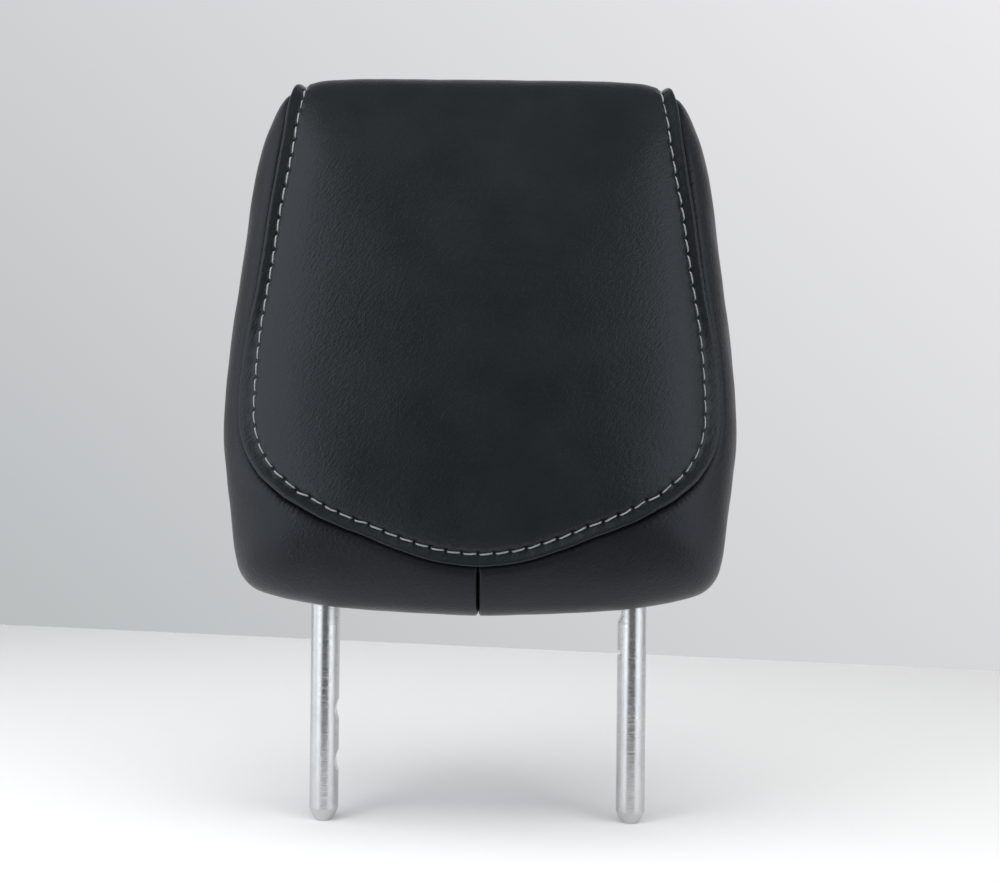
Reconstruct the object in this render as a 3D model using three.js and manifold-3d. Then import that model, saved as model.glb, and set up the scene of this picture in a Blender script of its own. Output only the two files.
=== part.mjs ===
// Car head restraint: a stitched cover of four panels over a moulded foam core, clamped through a
// two-shell carrier to one bent steel tube whose two notched legs are the posts. Millimetres, +Z up, the
// face a head rests on looks to -Y, origin midway between the posts where they leave the cushion.
import * as THREE from 'three';
import Module from 'manifold-3d';

const wasm = await Module();
wasm.setup();

// Cushion as seen from the front: right half of the outline, from the middle of the base to the middle of
// the top edge.
const cushionWidth = 243.6;
const cushionHeight = 251;
const outlineCentreHeight = 116;
const halfWidth = cushionWidth / 2;
const rightOutline = [
  [0, 0],
  [60, 2.2],
  [80, 4.3],
  [95, 7.3],
  [halfWidth - 14.3, 12],
  [halfWidth - 8.5, 18.5],
  [halfWidth - 6.1, 27],
  [halfWidth - 4, 42],
  [halfWidth - 1.5, 64],
  [halfWidth, 88],
  [halfWidth - 2.4, 121],
  [halfWidth - 7, 153],
  [halfWidth - 11.8, 186],
  [halfWidth - 16.2, 212],
  [halfWidth - 21.6, 229],
  [halfWidth - 30, cushionHeight - 7.5],
  [halfWidth - 42, cushionHeight - 1.6],
  [60, cushionHeight],
  [0, cushionHeight],
];
// Depth of the cushion at rising heights: how far its middle plane leans back, and its front and back
// swell.
const depthHeights = [0, 60, 125, 190, cushionHeight];
const middlePlane = [0, -4, -9, -15, -21];
const frontSwell = [50, 57, 56, 46, 34];
const backSwell = [36, 44, 44, 36, 26];
// Roundness of the edge in section: higher is squarer.
const sideRoundness = 3;
const topRoundness = 3.2;
const baseRoundness = 5;

// Cover: bonded leather and backing, its clearances and the relief at its seams.
const coverThickness = 2.6;
const seatingGap = 0.3;
const coreClearance = 0.9;
const baseClearance = 1.4;
const topClearance = 0.5;
const seamGap = 0.8;
const creaseDepth = 1.3;
const bandWidth = 5.6;
const bandRise = 0.9;
const stitchGroove = 0.7;
const puffRise = 0.9;
// The band widens by this share beside the wide part of the insert, and over the top edge it rises by this
// share while the swelling behind it dies out to this one.
const bandSpread = 0.4;
const bandTopRise = 1;
const puffTopLoss = 0.7;
// Seam between the front insert and a side panel, right half seen from the front, from the middle point up
// to the top edge.
const frontSeam = [
  [0, 25.8],
  [20, 28.1],
  [38, 33.8],
  [57, 41.4],
  [73.7, 48.5],
  [89.2, 57.3],
  [100.6, 67.4],
  [107.3, 79],
  [110, 92],
  [109.2, 112],
  [105.8, 134],
  [101.5, 155],
  [97.5, 183],
  [94, 205],
  [91.5, 222],
  [89.3, 239],
];
const seamTopHalfWidth = 86.8;
// The same seam seen from behind, from the top edge down to the end of the closure under the base.
const rearSeam = [
  [83.5, 239],
  [81.5, 222],
  [83, 204],
  [86, 182],
  [90, 155],
  [93, 134],
  [96, 110],
  [98, 85],
  [97, 60],
  [95.5, 35],
  [93.6, 16],
];
const closureHalfWidth = 93;
const crossSeamHeight = 226;
// Point of the seam, counted from the middle of the front, where the seam across the back meets it.
const crossSeamKnot = 18;

// Steel stay: outside diameter of the tube, the legs' spacing and reach below the base, and the bend under
// the crown.
const tubeDiameter = 14;
const postSpacing = 149.4;
const postReach = 102.2;
const stayTop = 168;
const stayBendRadius = 34;
const tipFlatDiameter = 7.8;
const tipTaper = 6;
// Notches: the left leg has two rounded ones for the height catch, the right leg a ramped one and a narrow
// one, all on the side that faces the other leg.
const leftNotchHeights = [-48.5, -73.3];
const leftNotchCut = 1.6;
const leftNotchRadius = 9;
const rampTop = 1.8;
const rampDeepest = -0.3;
const rampEnd = -5.5;
const rampCut = 2.2;
const slotTop = -18.3;
const slotBottom = -20.9;
const slotCut = 1.6;

// Carrier: two moulded shells that clamp the stay between them, and the screws that join them from behind.
const carrierHalfWidth = 94;
const carrierBottom = 16;
const carrierTop = 184;
const carrierFrontDepth = 19;
const carrierRearDepth = 12;
const carrierWall = 2.4;
const carrierCorner = 26;
const carrierSplit = 0.3;
const ribHeights = [46, 92, 140];
const ribColumns = [-24, 24];
const screwColumn = 48;
const bossDiameter = 10;
const screwShank = 4;
const screwHead = 8;
const screwHeadHeight = 2.6;
const screwReach = 9;
const recessDepth = 0.6;
const driveReach = 2.2;
const driveWidth = 1;
const driveDepth = 1.4;

// Bush that guides each post through the floor of the carrier.
const bushDiameter = 19;
const bushFlange = 23;
const bushFlangeHeight = 2;
const bushRise = 5;

// Pad of softer foam let into the core behind the front insert: its size and middle as shares of the way
// from the middle of the front to the outline.
const padThickness = 10;
const padHalfWidth = 0.42;
const padHalfHeight = 0.4;
const padMiddle = 0.06;

// Closure: two extruded strips sewn to the cover's lower edges between the posts, each hooked into the
// other.
const stripHalfLength = 60;
const stripWall = 1.5;
const stripFoot = 5.4;
const stripFootLevel = 5.4;
const stripHookRise = 8.1;
const stripLip = 1.2;

const meshes = [];

function solidOf(geometry) {
  const plain = geometry.index ? geometry.toNonIndexed() : geometry;
  const position = plain.getAttribute('position');
  const index = new Map();
  const vertices = [];
  const triangles = [];
  for (let i = 0; i < position.count; i += 3) {
    const corners = [];
    for (let k = 0; k < 3; k += 1) {
      const x = position.getX(i + k);
      const y = position.getY(i + k);
      const z = position.getZ(i + k);
      const key = `${Math.round(x * 1e4)},${Math.round(y * 1e4)},${Math.round(z * 1e4)}`;
      if (!index.has(key)) {
        index.set(key, vertices.length / 3);
        vertices.push(x, y, z);
      }
      corners.push(index.get(key));
    }
    if (corners[0] !== corners[1] && corners[1] !== corners[2] && corners[2] !== corners[0]) {
      triangles.push(...corners);
    }
  }
  const mesh = new wasm.Mesh({
    numProp: 3,
    vertProperties: new Float32Array(vertices),
    triVerts: new Uint32Array(triangles),
  });
  mesh.merge();
  return new wasm.Manifold(mesh);
}

function geometryOf(solid) {
  const mesh = solid.getMesh();
  const geometry = new THREE.BufferGeometry();
  const positions = new Float32Array(mesh.numVert * 3);
  for (let i = 0; i < mesh.numVert; i += 1) {
    positions.set(mesh.vertProperties.subarray(i * mesh.numProp, i * mesh.numProp + 3), i * 3);
  }
  geometry.setAttribute('position', new THREE.BufferAttribute(positions, 3));
  geometry.setIndex(new THREE.BufferAttribute(mesh.triVerts, 1));
  return geometry;
}

function addPiece(name, solid, colour, metalness, roughness) {
  const mesh = new THREE.Mesh(
    geometryOf(solid),
    new THREE.MeshStandardMaterial({ color: colour, metalness, roughness, flatShading: false }),
  );
  mesh.name = name;
  meshes.push(mesh);
}

// Smooth curve through points, parameter counted in points.
function curveThrough(points) {
  const curve = new THREE.CatmullRomCurve3(
    points.map(([x, y]) => new THREE.Vector3(x, y, 0)), false, 'centripetal',
  );
  return (knot) => {
    const point = curve.getPoint(Math.min(Math.max(knot / (points.length - 1), 0), 1));
    return [point.x, point.y];
  };
}

// Cushion skin. A point of it has chart coordinates (a, b): right and up seen from the front, at a
// distance s from the middle that is 0 at the middle of the front, 1 on the outline and 2 at the middle of
// the back.
const outlineTable = [];
{
  const [second] = rightOutline.slice(1);
  const [beforeLast] = rightOutline.slice(-2);
  const all = [[-second[0], second[1]], ...rightOutline, [-beforeLast[0], beforeLast[1]]];
  const curve = curveThrough(all);
  const stepsEach = 12;
  for (let i = stepsEach; i <= stepsEach * (all.length - 2); i += 1) {
    const [x, z] = curve(i / stepsEach);
    const up = z - outlineCentreHeight;
    outlineTable.push([Math.atan2(up, Math.max(x, 0)), Math.hypot(x, up)]);
  }
}

function outlineRadius(angle) {
  const folded = Math.atan2(Math.sin(angle), Math.abs(Math.cos(angle)));
  let low = 0;
  let high = outlineTable.length - 1;
  while (high - low > 1) {
    const middle = (low + high) >> 1;
    if (outlineTable[middle][0] <= folded) low = middle;
    else high = middle;
  }
  const [angleBelow, below] = outlineTable[low];
  const [angleAbove, above] = outlineTable[high];
  return below + ((above - below) * (folded - angleBelow)) / (angleAbove - angleBelow);
}

function smoothRow(values) {
  const curve = curveThrough(depthHeights.map((height, i) => [height, values[i]]));
  const table = [];
  const steps = 16 * (depthHeights.length - 1);
  for (let i = 0; i <= steps; i += 1) table.push(curve((i * (depthHeights.length - 1)) / steps));
  return (height) => {
    if (height <= table[0][0]) return table[0][1];
    for (let i = 1; i <= steps; i += 1) {
      if (height <= table[i][0]) {
        const part = (height - table[i - 1][0]) / (table[i][0] - table[i - 1][0]);
        return table[i - 1][1] + part * (table[i][1] - table[i - 1][1]);
      }
    }
    return table[steps][1];
  };
}
const middleAt = smoothRow(middlePlane);
const frontAt = smoothRow(frontSwell);
const backAt = smoothRow(backSwell);

function roundness(angle) {
  const up = Math.sin(angle);
  return sideRoundness + ((up > 0 ? topRoundness : baseRoundness) - sideRoundness) * up * up;
}

function skin([a, b]) {
  const s = Math.hypot(a, b);
  const angle = Math.atan2(b, a);
  const turn = (s * Math.PI) / 2;
  const power = roundness(angle);
  const r = (Math.abs(Math.sin(turn)) ** power + Math.abs(Math.cos(turn)) ** power) ** (-1 / power);
  const across = r * Math.sin(turn) * outlineRadius(angle);
  const toFront = r * Math.cos(turn);
  const z = outlineCentreHeight + across * Math.sin(angle);
  return new THREE.Vector3(
    across * Math.cos(angle),
    middleAt(z) - toFront * (toFront > 0 ? frontAt(z) : backAt(z)),
    z,
  );
}

function skinNormal(at) {
  const step = 1e-3;
  const alongA = skin([at[0] + step, at[1]]).sub(skin([at[0] - step, at[1]]));
  const alongB = skin([at[0], at[1] + step]).sub(skin([at[0], at[1] - step]));
  const normal = alongB.cross(alongA).normalize();
  return normal.negate();
}

function chartOfFront(x, z) {
  const angle = Math.atan2(z - outlineCentreHeight, x);
  const across = Math.min(Math.hypot(x, z - outlineCentreHeight) / outlineRadius(angle), 0.99999);
  const power = roundness(angle);
  const toFront = (1 - across ** power) ** (1 / power);
  const s = (Math.atan2(across, toFront) * 2) / Math.PI;
  return [s * Math.cos(angle), s * Math.sin(angle)];
}

function chartOfBack(x, z) {
  const [a, b] = chartOfFront(x, z);
  const s = Math.hypot(a, b);
  return [(a * (2 - s)) / s, (b * (2 - s)) / s];
}

// Chart point of the outline itself at a given half width, on the top edge or under the base.
function chartOfOutline(x, top) {
  let low = top ? 0.3 : -Math.PI / 2;
  let high = top ? Math.PI / 2 : -0.3;
  for (let i = 0; i < 40; i += 1) {
    const middle = (low + high) / 2;
    const wide = outlineRadius(middle) * Math.cos(middle) > x;
    if (wide === top) low = middle;
    else high = middle;
  }
  return [Math.cos(low), Math.sin(low)];
}

// Seam loop of the right half: up the front, over the top edge, and down the back to the closure. A
// mirrored point ahead of the first keeps it level where the two halves meet.
const loopPoints = [
  ...frontSeam.map(([x, z]) => chartOfFront(x, z)),
  chartOfOutline(seamTopHalfWidth, true),
  ...rearSeam.map(([x, z]) => chartOfBack(x, z)),
  chartOfOutline(closureHalfWidth, false),
];
const seamCurve = curveThrough([[-loopPoints[1][0], loopPoints[1][1]], ...loopPoints]);
const seamLoop = (knot) => seamCurve(knot + 1);
const loopKnots = loopPoints.length - 1;
const apexKnot = frontSeam.length;
const crossEnd = seamLoop(crossSeamKnot);
const crossMiddle = chartOfBack(0, crossSeamHeight);

// The back half has a chart of its own, with the middle of the back at its centre.
function throughBack([a, b]) {
  const s = Math.hypot(a, b);
  return s < 1e-9 ? [0, 2] : [(a * (2 - s)) / s, (b * (2 - s)) / s];
}

const crossEndBack = throughBack(crossEnd);
const crossMiddleBack = throughBack(crossMiddle);

// Seam across the back of the insert, from its right end to the middle.
function crossSeam(part) {
  return throughBack([
    crossEndBack[0] * (1 - part),
    crossEndBack[1] + (crossMiddleBack[1] - crossEndBack[1]) * part * (2 - part),
  ]);
}

// Share of a row that lies within a distance in millimetres of the edge it starts from, measured square to
// that edge.
function shareWithin(distance, edgeAt, place, row) {
  const small = 1e-3;
  const edge = skin(edgeAt(place + small)).sub(skin(edgeAt(place - small))).normalize();
  const leaving = skin(row(small)).sub(skin(row(0))).multiplyScalar(1 / small);
  leaving.addScaledVector(edge, -leaving.dot(edge));
  return distance / Math.max(leaving.length(), 1e-6);
}

// Closed sheet between an outer and an inner grid of chart points; each grid row runs away from the
// panel's edge.
class Sheet {
  constructor() {
    this.triangles = [];
  }

  face(p, q, r) {
    this.triangles.push(p, q, r);
  }

  patch(grid, flip) {
    for (let i = 0; i + 1 < grid.length; i += 1) {
      const early = i < grid.length / 2;
      for (let j = 0; j + 1 < grid[i].length; j += 1) {
        const [p, q, r, s] = [grid[i][j], grid[i + 1][j], grid[i + 1][j + 1], grid[i][j + 1]];
        const halves = early ? [[p, q, s], [q, r, s]] : [[p, q, r], [p, r, s]];
        halves.forEach(([one, two, three]) => {
          if (flip) this.face(one, three, two);
          else this.face(one, two, three);
        });
      }
    }
  }

  solid() {
    const geometry = new THREE.BufferGeometry();
    const flat = new Float32Array(this.triangles.length * 3);
    this.triangles.forEach((point, i) => flat.set([point.x, point.y, point.z], i * 3));
    geometry.setAttribute('position', new THREE.BufferAttribute(flat, 3));
    return solidOf(geometry);
  }
}

function lift(at, height) {
  return skin(at).addScaledVector(skinNormal(at), height);
}

function liftBack([a, b], height) {
  const step = 1e-3;
  const at = (da, db) => skin(throughBack([a + da, b + db]));
  const alongA = at(step, 0).sub(at(-step, 0));
  const alongB = at(0, step).sub(at(0, -step));
  const normal = alongB.cross(alongA).normalize();
  return at(0, 0).addScaledVector(normal, height);
}

const mirrored = (point) => new THREE.Vector3(-point.x, point.y, point.z);

// Front insert
const edgeInset = seamGap / 2;
const insertProfile = [
  [edgeInset, -creaseDepth],
  [1.3, 0.2],
  [2.6, bandRise],
  [bandWidth - 1.4, bandRise * 0.8],
  [bandWidth, -stitchGroove],
  [bandWidth + 1.6, 0],
  [bandWidth + 5, puffRise],
  [bandWidth + 11, puffRise],
  [bandWidth + 20, 0.2],
];
const insertColumns = [];
for (let knot = 0; knot < crossSeamKnot; knot += 0.5) insertColumns.push(knot);
const crossKnotLength = 17;
[5, 1.6, edgeInset].forEach((distance) => insertColumns.push(crossSeamKnot - distance / crossKnotLength));

// Where each row of the insert meets its middle line, so that the rows lie level up the front and over the
// top edge.
const spineKnots = [
  [0, -0.22], [8, -0.08], [9, -0.02], [10, 0.08], [11, 0.19], [12, 0.3], [13, 0.41], [14, 0.5], [15, 0.64],
  [16, 0.9], [17, 1.14], [crossSeamKnot, crossMiddle[1]],
];
function spineAt(knot) {
  for (let i = 1; i < spineKnots.length; i += 1) {
    const [k0, b0] = spineKnots[i - 1];
    const [k1, b1] = spineKnots[i];
    if (knot <= k1) return [0, b0 + ((b1 - b0) * (knot - k0)) / (k1 - k0)];
  }
  return crossMiddle;
}

function blend(one, other, share) {
  return [one[0] + (other[0] - one[0]) * share, one[1] + (other[1] - one[1]) * share];
}

// Row of the insert from the seam to its middle line; the last rows turn to lie along the cross seam.
function insertRow(knot) {
  const last = crossSeamKnot;
  const before = last - 1;
  if (knot <= before) return (r) => blend(seamLoop(knot), spineAt(knot), r);
  const turn = knot - before;
  const straight = blend(seamLoop(before), seamLoop(last), turn);
  const seam = seamLoop(knot);
  return (r) => {
    const [a, b] = blend(blend(seamLoop(before), spineAt(before), r), crossSeam(r), turn);
    return [a + (seam[0] - straight[0]) * (1 - r), b + (seam[1] - straight[1]) * (1 - r)];
  };
}

// Share by which the band is wider at a point of the seam.
function bandSpreadAt(knot) {
  const { smoothstep } = THREE.MathUtils;
  return 1 + bandSpread * smoothstep(knot, 5.2, 7.6) * (1 - smoothstep(knot, 9, 10.6));
}

const insertShares = 4;
function insertGrid(heightOf) {
  return insertColumns.map((knot) => {
    const row = insertRow(knot);
    const place = Math.max(knot, 0.01);
    const spread = bandSpreadAt(knot);
    const rs = insertProfile.map(([distance], j) => (
      shareWithin(j > 0 ? distance * spread : distance, seamLoop, place, row)
    ));
    const count = rs.length + insertShares;
    for (let j = 0; j < rs.length; j += 1) rs[j] = Math.min(rs[j], 1 - (count - j) * 0.02);
    const from = rs[rs.length - 1];
    for (let i = 1; i <= insertShares; i += 1) rs.push(from + ((1 - from) * i) / insertShares);
    return rs.map((r, j) => {
      const [a, b] = row(r);
      return lift([knot === 0 || j === count - 1 ? 0 : a, b], heightOf(j, knot));
    });
  });
}

function panelFromGrids(outer, inner, mirror) {
  const sheet = new Sheet();
  sheet.patch(outer, false);
  sheet.patch(inner, true);
  for (let i = 0; i + 1 < outer.length; i += 1) {
    sheet.patch([[outer[i][0], inner[i][0]], [outer[i + 1][0], inner[i + 1][0]]], true);
  }
  const last = outer.length - 1;
  for (let j = 0; j + 1 < outer[last].length; j += 1) {
    sheet.patch([[outer[last][j], inner[last][j]], [outer[last][j + 1], inner[last][j + 1]]], true);
  }
  if (mirror) {
    const count = sheet.triangles.length;
    for (let i = 0; i < count; i += 3) {
      const [p, q, r] = sheet.triangles.slice(i, i + 3).map(mirrored);
      sheet.face(p, r, q);
    }
  }
  return sheet;
}

function insertHeight(j, knot) {
  const { smoothstep } = THREE.MathUtils;
  const flat = j < insertProfile.length ? insertProfile[j][1] : 0;
  const nearTop = smoothstep(knot, 14.2, 16) * (1 - smoothstep(knot, 16.4, 17.2));
  const onBand = insertProfile[Math.min(j, insertProfile.length - 1)][0] < bandWidth;
  let relief = flat;
  if (flat > 0 && onBand) relief *= 1 + bandTopRise * nearTop;
  else if (flat > 0) relief *= 1 - puffTopLoss * smoothstep(knot, 13.5, 15.5);
  const toCross = (crossSeamKnot - knot) * crossKnotLength;
  const edge = toCross < 1 ? -creaseDepth : (toCross < 3 ? -0.1 : 0.35);
  return toCross < 6 ? Math.min(relief, edge) : relief;
}
const insertOuter = insertGrid(insertHeight);
const insertInner = insertGrid(() => -coverThickness);
const coverColour = 0x17181a;
const coverLook = [coverColour, 0, 0.55];
const insert = panelFromGrids(insertOuter, insertInner, true).solid();
addPiece('front_insert', insert, ...coverLook);

// Holes that let the posts through the cover and the core.
function cylinder(radius, bottom, top, x, y, sides = 24) {
  const geometry = new THREE.CylinderGeometry(radius, radius, top - bottom, sides, 1);
  geometry.rotateX(Math.PI / 2);
  geometry.translate(x, y, (bottom + top) / 2);
  return solidOf(geometry);
}
const postX = postSpacing / 2;

// Side panels: from the insert's seam round the side to the rear panel, and under the insert down to the
// closure.
const sideDistances = [edgeInset, 1.6, 5];
const sideHeights = [-creaseDepth, -0.1, 0.35];
const sideShares = 11;
const cornerKnot = loopKnots;
const sideColumns = [];
for (let i = 0; i <= 32; i += 1) sideColumns.push(i / 32);

// Facing edge of the side panel: along the closure under the base, then up the rear seam to the top edge.
const closureShare = 8 / 32;
function farEdge(part) {
  if (part <= closureShare) {
    const [a, b] = chartOfOutline(closureHalfWidth, false);
    const corner = Math.atan2(b, a);
    const angle = -Math.PI / 2 + ((corner + Math.PI / 2) * part) / closureShare;
    return [Math.cos(angle), Math.sin(angle)];
  }
  const knot = cornerKnot - ((cornerKnot - apexKnot) * (part - closureShare)) / (1 - closureShare);
  return seamLoop(knot);
}

function nearEdge(part) {
  return seamLoop(apexKnot * part);
}

function sideGrid(inside, heightOf) {
  return sideColumns.map((part) => {
    const at = THREE.MathUtils.clamp(part, 0.001, 0.998);
    const far = farEdge(at);
    const near = nearEdge(at);
    const along = (r) => [near[0] + (far[0] - near[0]) * r, near[1] + (far[1] - near[1]) * r];
    const back = (r) => along(1 - r);
    const limit = (distance, share) => Math.min(share, distance * 0.075);
    const first = inside.map((distance) => limit(distance, shareWithin(distance, nearEdge, at, along)));
    const last = inside.map((distance) => 1 - limit(distance, shareWithin(distance, farEdge, at, back)));
    last.reverse();
    const from = first[first.length - 1];
    const to = last[0];
    const shares = [...first];
    for (let i = 1; i < sideShares; i += 1) shares.push(from + ((to - from) * i) / sideShares);
    shares.push(...last);
    return shares.map((share, j) => {
      const point = lift(along(share), heightOf(Math.min(j, shares.length - 1 - j)));
      point.x = part === 0 ? seamGap / 2 : Math.max(point.x, seamGap / 2);
      return point;
    });
  });
}

function closedSheet(outer, inner, flip) {
  const sheet = new Sheet();
  sheet.patch(outer, flip);
  sheet.patch(inner, !flip);
  const rows = outer.length - 1;
  const steps = outer[0].length - 1;
  const rim = [];
  for (let i = 0; i <= rows; i += 1) rim.push([i, 0]);
  for (let j = 1; j <= steps; j += 1) rim.push([rows, j]);
  for (let i = rows - 1; i >= 0; i -= 1) rim.push([i, steps]);
  for (let j = steps - 1; j >= 0; j -= 1) rim.push([0, j]);
  for (let k = 0; k + 1 < rim.length; k += 1) {
    const [i0, j0] = rim[k];
    const [i1, j1] = rim[k + 1];
    sheet.patch([[outer[i0][j0], inner[i0][j0]], [outer[i1][j1], inner[i1][j1]]], !flip);
  }
  return sheet;
}

const sideOuter = sideGrid(sideDistances, (edge) => (edge < sideHeights.length ? sideHeights[edge] : 0));
const sideInner = sideGrid(sideDistances, () => -coverThickness);
const postClearance = 0.5;
const postHole = cylinder(tubeDiameter / 2 + postClearance, -20, 12, postX, 0);
const sideRight = closedSheet(sideOuter, sideInner, true).solid()
  .subtract(postHole)
  .subtract(insert.translate(seatingGap, 0, 0));
const sideLeft = sideRight.mirror([1, 0, 0]);
addPiece('side_panel_right', sideRight, ...coverLook);
addPiece('side_panel_left', sideLeft, ...coverLook);

// Rear panel: from the cross seam under the top edge down to the closure.
const rearEdgeShares = [0.0012, 0.007, 0.022];
const rearShares = [...rearEdgeShares];
const rearRows = 18;
for (let i = 1; i < rearRows; i += 1) rearShares.push(i / rearRows);
rearShares.push(...rearEdgeShares.map((share) => 1 - share).reverse());
const closureCorner = Math.atan2(loopPoints[loopKnots][1], loopPoints[loopKnots][0]);

function rearGrid(heightOf) {
  return rearShares.map((down, i) => {
    const knot = crossSeamKnot + (loopKnots - crossSeamKnot) * down;
    const rim = throughBack(seamLoop(knot));
    const middle = crossMiddleBack[1] + (-1 - crossMiddleBack[1]) * down;
    const low = THREE.MathUtils.smoothstep(down, 0.6, 1);
    const along = (share) => {
      const angle = closureCorner + (-Math.PI / 2 - closureCorner) * share;
      const bowed = [rim[0] * (1 - share), rim[1] + (middle - rim[1]) * share * (2 - share)];
      const offset = rim.map((value, k) => (value - loopPoints[loopKnots][k]) * (1 - share));
      const round = [Math.cos(angle) + offset[0], Math.sin(angle) + offset[1]];
      return [bowed[0] + (round[0] - bowed[0]) * low, bowed[1] + (round[1] - bowed[1]) * low];
    };
    const speed = skin(throughBack(along(0.01))).distanceTo(skin(throughBack(rim))) / 0.01;
    const insets = sideDistances.map((distance) => distance / speed);
    const shares = [...insets, 0.15, 0.27, 0.4, 0.55, 0.75, 1];
    const toEnd = Math.min(i, rearShares.length - 1 - i);
    const half = shares.map((share, j) => liftBack(along(share), heightOf(Math.min(j, toEnd))));
    return [...half, ...half.slice(0, -1).reverse().map(mirrored)];
  });
}

const rearOuter = rearGrid((edge) => (edge < sideHeights.length ? sideHeights[edge] : 0));
const rearInner = rearGrid(() => -coverThickness);
const rear = closedSheet(rearOuter, rearInner, false).solid()
  .subtract(postHole)
  .subtract(postHole.mirror([1, 0, 0]));
addPiece('rear_panel', rear, ...coverLook);

// Pad and core
const innerFace = -(coverThickness + coreClearance);

function padSolid(outside, inside, grow) {
  const sides = 32;
  const rings = [0, 0.4, 0.75, 1];
  const grids = [outside, inside].map((height) => {
    const grid = [];
    for (let i = 0; i <= sides; i += 1) {
      const angle = (2 * Math.PI * (i % sides)) / sides;
      const reach = (Math.abs(Math.cos(angle)) ** 3 + Math.abs(Math.sin(angle)) ** 3) ** (-1 / 3);
      grid.push(rings.map((ring) => lift([
        (padHalfWidth + grow) * reach * ring * Math.cos(angle),
        padMiddle + (padHalfHeight + grow) * reach * ring * Math.sin(angle),
      ], height)));
    }
    return grid;
  });
  const sheet = new Sheet();
  sheet.patch(grids[0], true);
  sheet.patch(grids[1], false);
  const [outer, inner] = grids.map((grid) => grid.map((row) => row[rings.length - 1]));
  for (let i = 0; i < sides; i += 1) {
    sheet.patch([[outer[i], inner[i]], [outer[i + 1], inner[i + 1]]], true);
  }
  return sheet.solid();
}

function coreSolid() {
  const { smoothstep } = THREE.MathUtils;
  const sides = 40;
  const frontLevels = [0, 0.16, 0.32, 0.46, 0.57, 0.67, 0.77, 0.88];
  const levels = [...frontLevels, 1, ...frontLevels.map((level) => 2 - level).reverse()];
  const grid = [];
  for (let i = 0; i <= sides; i += 1) {
    const angle = -Math.PI / 2 + (2 * Math.PI * (i % sides)) / sides;
    grid.push(levels.map((s) => {
      const up = s * Math.sin(angle);
      const level = innerFace
        - baseClearance * smoothstep(-up, 0.45, 0.7)
        - topClearance * smoothstep(up, 0.7, 0.9);
      if (s <= 1) return lift([s * Math.cos(angle), s * Math.sin(angle)], level);
      return liftBack([(2 - s) * Math.cos(angle), (2 - s) * Math.sin(angle)], level);
    }));
  }
  const sheet = new Sheet();
  sheet.patch(grid, true);
  return sheet.solid();
}

// Outline of the carrier seen from the front, grown by a clearance, as a plate between two depths.
function carrierBlock(grow, front, back) {
  const w = carrierHalfWidth + grow;
  const low = carrierBottom - grow;
  const high = carrierTop + grow;
  const r = carrierCorner + grow;
  const shape = new THREE.Shape();
  shape.moveTo(-w + r, low);
  shape.lineTo(w - r, low);
  shape.absarc(w - r, low + r, r, -Math.PI / 2, 0, false);
  shape.absarc(w - r, high - r, r, 0, Math.PI / 2, false);
  shape.absarc(-w + r, high - r, r, Math.PI / 2, Math.PI, false);
  shape.absarc(-w + r, low + r, r, Math.PI, 1.5 * Math.PI, false);
  const settings = { depth: back - front, bevelEnabled: false, curveSegments: 5 };
  const geometry = new THREE.ExtrudeGeometry(shape, settings);
  geometry.rotateX(Math.PI / 2);
  geometry.translate(0, back, 0);
  return solidOf(geometry);
}

function box(x0, x1, y0, y1, z0, z1) {
  const geometry = new THREE.BoxGeometry(x1 - x0, y1 - y0, z1 - z0);
  geometry.translate((x0 + x1) / 2, (y0 + y1) / 2, (z0 + z1) / 2);
  return solidOf(geometry);
}

// Cylinder along the depth, for bosses, screws and their holes.
function pin(radius, front, back, x, z, sides = 12) {
  const geometry = new THREE.CylinderGeometry(radius, radius, back - front, sides, 1);
  geometry.translate(x, (front + back) / 2, z);
  return solidOf(geometry);
}

function joined(solids) {
  return solids.slice(1).reduce((sum, solid) => sum.add(solid), solids[0]);
}

// Tube swept along the stay's line, both ends drawn in to a small flat.
function staySolid(grow, legEnd, sides) {
  const radius = tubeDiameter / 2 + grow;
  const arcSteps = 8;
  const stations = [];
  const flat = tipFlatDiameter / 2 + grow;
  const run = radius - flat;
  if (legEnd < 0) {
    stations.push([-postX, legEnd, 0, 0]);
    for (let i = 0; i <= 4; i += 1) {
      const share = i / 4;
      const bow = 0.5 * share + 0.5 * Math.sin((share * Math.PI) / 2);
      stations.push([-postX, legEnd + tipTaper * share, 0, flat + run * bow]);
    }
  } else {
    stations.push([-postX, legEnd, 0, 0], [-postX, legEnd, 0, radius]);
  }
  for (let i = 0; i <= arcSteps; i += 1) {
    const turn = (Math.PI / 2) * (i / arcSteps);
    stations.push([
      -postX + stayBendRadius * (1 - Math.cos(turn)),
      stayTop - stayBendRadius + stayBendRadius * Math.sin(turn),
      turn,
      radius,
    ]);
  }
  const half = stations.length;
  for (let i = half - 1; i >= 0; i -= 1) {
    const [x, z, turn, r] = stations[i];
    stations.push([-x, z, Math.PI - turn, r]);
  }
  const grid = stations.map(([x, z, turn, r]) => {
    const ring = [];
    for (let k = 0; k <= sides; k += 1) {
      const angle = (2 * Math.PI * (k % sides)) / sides;
      const out = r * Math.cos(angle);
      ring.push(new THREE.Vector3(x - out * Math.cos(turn), r * Math.sin(angle), z + out * Math.sin(turn)));
    }
    return ring;
  });
  const sheet = new Sheet();
  sheet.patch(grid, false);
  return sheet.solid();
}

// Prism across the tube, from a profile in the plane of the posts.
function across(profile) {
  const shape = new THREE.Shape(profile.map(([x, z]) => new THREE.Vector2(x, z)));
  const geometry = new THREE.ExtrudeGeometry(shape, { depth: 4 * tubeDiameter, bevelEnabled: false });
  geometry.rotateX(Math.PI / 2);
  geometry.translate(0, 2 * tubeDiameter, 0);
  return solidOf(geometry);
}

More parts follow.
